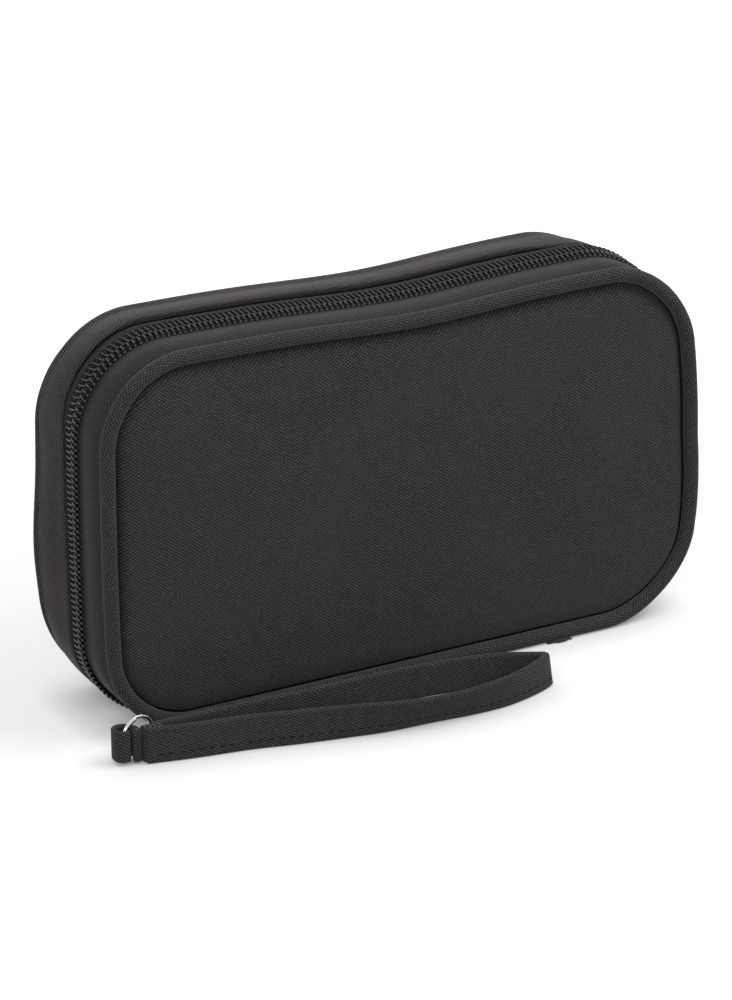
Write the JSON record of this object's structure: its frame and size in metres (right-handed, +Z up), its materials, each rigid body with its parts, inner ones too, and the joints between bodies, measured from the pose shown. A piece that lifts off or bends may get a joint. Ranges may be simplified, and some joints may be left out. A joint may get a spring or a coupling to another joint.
{
  "type": "glucose meter case",
  "caption": "Soft zip-around case on its long edge, with piping, a coil zip, a slider with tab and ring, and a folded wrist strap; bands and a net pocket inside.",
  "frame": {"origin": "middle of the front spine, on the surface that the case stands on", "axes": "+X along the case to the right as seen from its front, +Y from its front to its rear, +Z up"},
  "size_m": [0.1836, 0.0687, 0.1033],
  "materials": {
    "cloth": "fine woven polyester, matte",
    "tape": "herringbone woven zip tape",
    "nylon": "glossy nylon coil",
    "lining": "smooth woven lining",
    "foam": "padding board",
    "elastic": "ribbed elastic webbing and net",
    "metal": "polished nickel plate"
  },
  "bodies": {
    "front_half": {"front_cover": "cloth", "front_foam": "foam", "front_lining": "lining", "front_piping": "cloth", "front_binding": "elastic", "front_zip_tape": "tape", "front_zip_teeth": "nylon", "front_spine": "cloth", "zip_tail_tape_left": "tape", "zip_tail_tape_right": "tape", "zip_tail_teeth_left": "nylon", "zip_tail_teeth_right": "nylon", "zip_end_stop": "metal", "mesh_pocket": "elastic", "pocket_hem": "elastic"},
    "back_half": {"back_cover": "cloth", "back_foam": "foam", "back_lining": "lining", "back_piping": "cloth", "back_gusset": "cloth", "back_zip_tape": "tape", "back_zip_teeth": "nylon", "gusset_lining": "lining", "back_binding": "elastic", "meter_band": "elastic", "vial_loop": "elastic", "pen_loop": "elastic"},
    "slider": {"slider": "metal"},
    "pull_tab": {"pull_tab": "metal"},
    "ring": {"split_ring": "metal"},
    "strap": {"wrist_strap": "cloth", "strap_end_loop": "cloth"}
  },
  "joints": [
    {"name": "case_hinge", "type": "hinge", "parent": "front_half", "child": "back_half", "pos_m": [0, 0.00685, -0.0002], "axis": [-1, 0, 0], "range_deg": [0, 180]},
    {"name": "slider_run", "type": "slide", "parent": "front_half", "child": "slider", "axis": [1, 0, 0], "range_m": [-0.007, 0]},
    {"name": "tab_swivel", "type": "hinge", "parent": "slider", "child": "pull_tab", "pos_m": [-0.0623, 0.00685, 0.00155], "axis": [0, 0, 1], "range_deg": [-10, 2]},
    {"name": "ring_swing", "type": "hinge", "parent": "pull_tab", "child": "ring", "pos_m": [-0.08095, -0.01732, 0.0024], "axis": [0, 0, 1], "range_deg": [-20, 2]},
    {"name": "strap_swing", "type": "hinge", "parent": "ring", "child": "strap", "pos_m": [-0.0874, -0.01905, 0.0064], "axis": [0, 0, 1], "range_deg": [-30, 0]}
  ]
}
